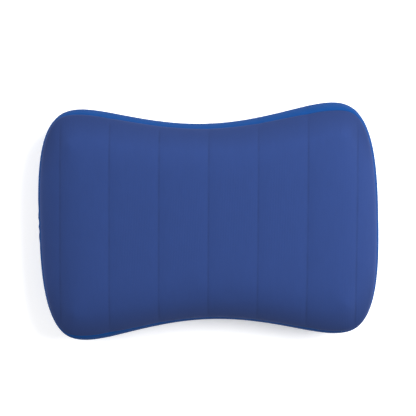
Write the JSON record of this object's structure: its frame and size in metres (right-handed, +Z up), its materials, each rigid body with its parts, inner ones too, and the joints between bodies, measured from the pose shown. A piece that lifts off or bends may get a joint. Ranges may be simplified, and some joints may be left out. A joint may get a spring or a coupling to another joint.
{
  "type": "camp pillow",
  "caption": "Inflatable camp pillow with a waisted outline, a brushed fabric face, upright baffles inside and a push-in inflation valve with a hinged cap on one end.",
  "frame": {"origin": "middle of the bounding box, at the height of the flat back skin that the pillow lies on", "axes": "+X along the pillow away from the valve, +Y across it, +Z up through the face that the head lies on"},
  "size_m": [0.3697, 0.2508, 0.08],
  "materials": {
    "navy_knit": "matte brushed knit",
    "royal_knit": "matte knit, slightly smoother",
    "seam_film": "satin film",
    "baffle_film": "satin film",
    "royal_film": "satin welded film",
    "clear_tpu": "satin, slightly milky",
    "dark_tpu": "satin",
    "silicone": "matte"
  },
  "bodies": {
    "casing": {"front_panel": "navy_knit", "back_panel": "royal_knit", "seam_tape": "seam_film", "baffle_1": "baffle_film", "baffle_2": "baffle_film", "baffle_3": "baffle_film", "baffle_4": "baffle_film", "baffle_5": "baffle_film", "baffle_6": "baffle_film", "baffle_7": "baffle_film", "valve_patch": "royal_film", "valve_base": "clear_tpu"},
    "plug": {"dump_plug": "dark_tpu", "plug_gasket": "silicone", "plug_strap": "dark_tpu"},
    "flap": {"check_flap": "silicone", "flap_stem": "silicone", "flap_button": "silicone"},
    "cap": {"valve_cap": "dark_tpu", "cap_strap": "dark_tpu"}
  },
  "joints": [
    {"name": "plug_hinge", "type": "hinge", "parent": "casing", "child": "plug", "pos_m": [-0.18279, 0, 0.03173], "axis": [0, 1, 0], "range_deg": [0, 120]},
    {"name": "cap_hinge", "type": "hinge", "parent": "plug", "child": "cap", "pos_m": [-0.17621, -0.0122, 0.01815], "axis": [-0.5736, 0, 0.8192], "range_deg": [0, 120]},
    {"name": "flap_travel", "type": "slide", "parent": "plug", "child": "flap", "axis": [0.8192, 0, 0.5736], "range_m": [0, 0.002], "stiffness_N_per_m": 10}
  ]
}
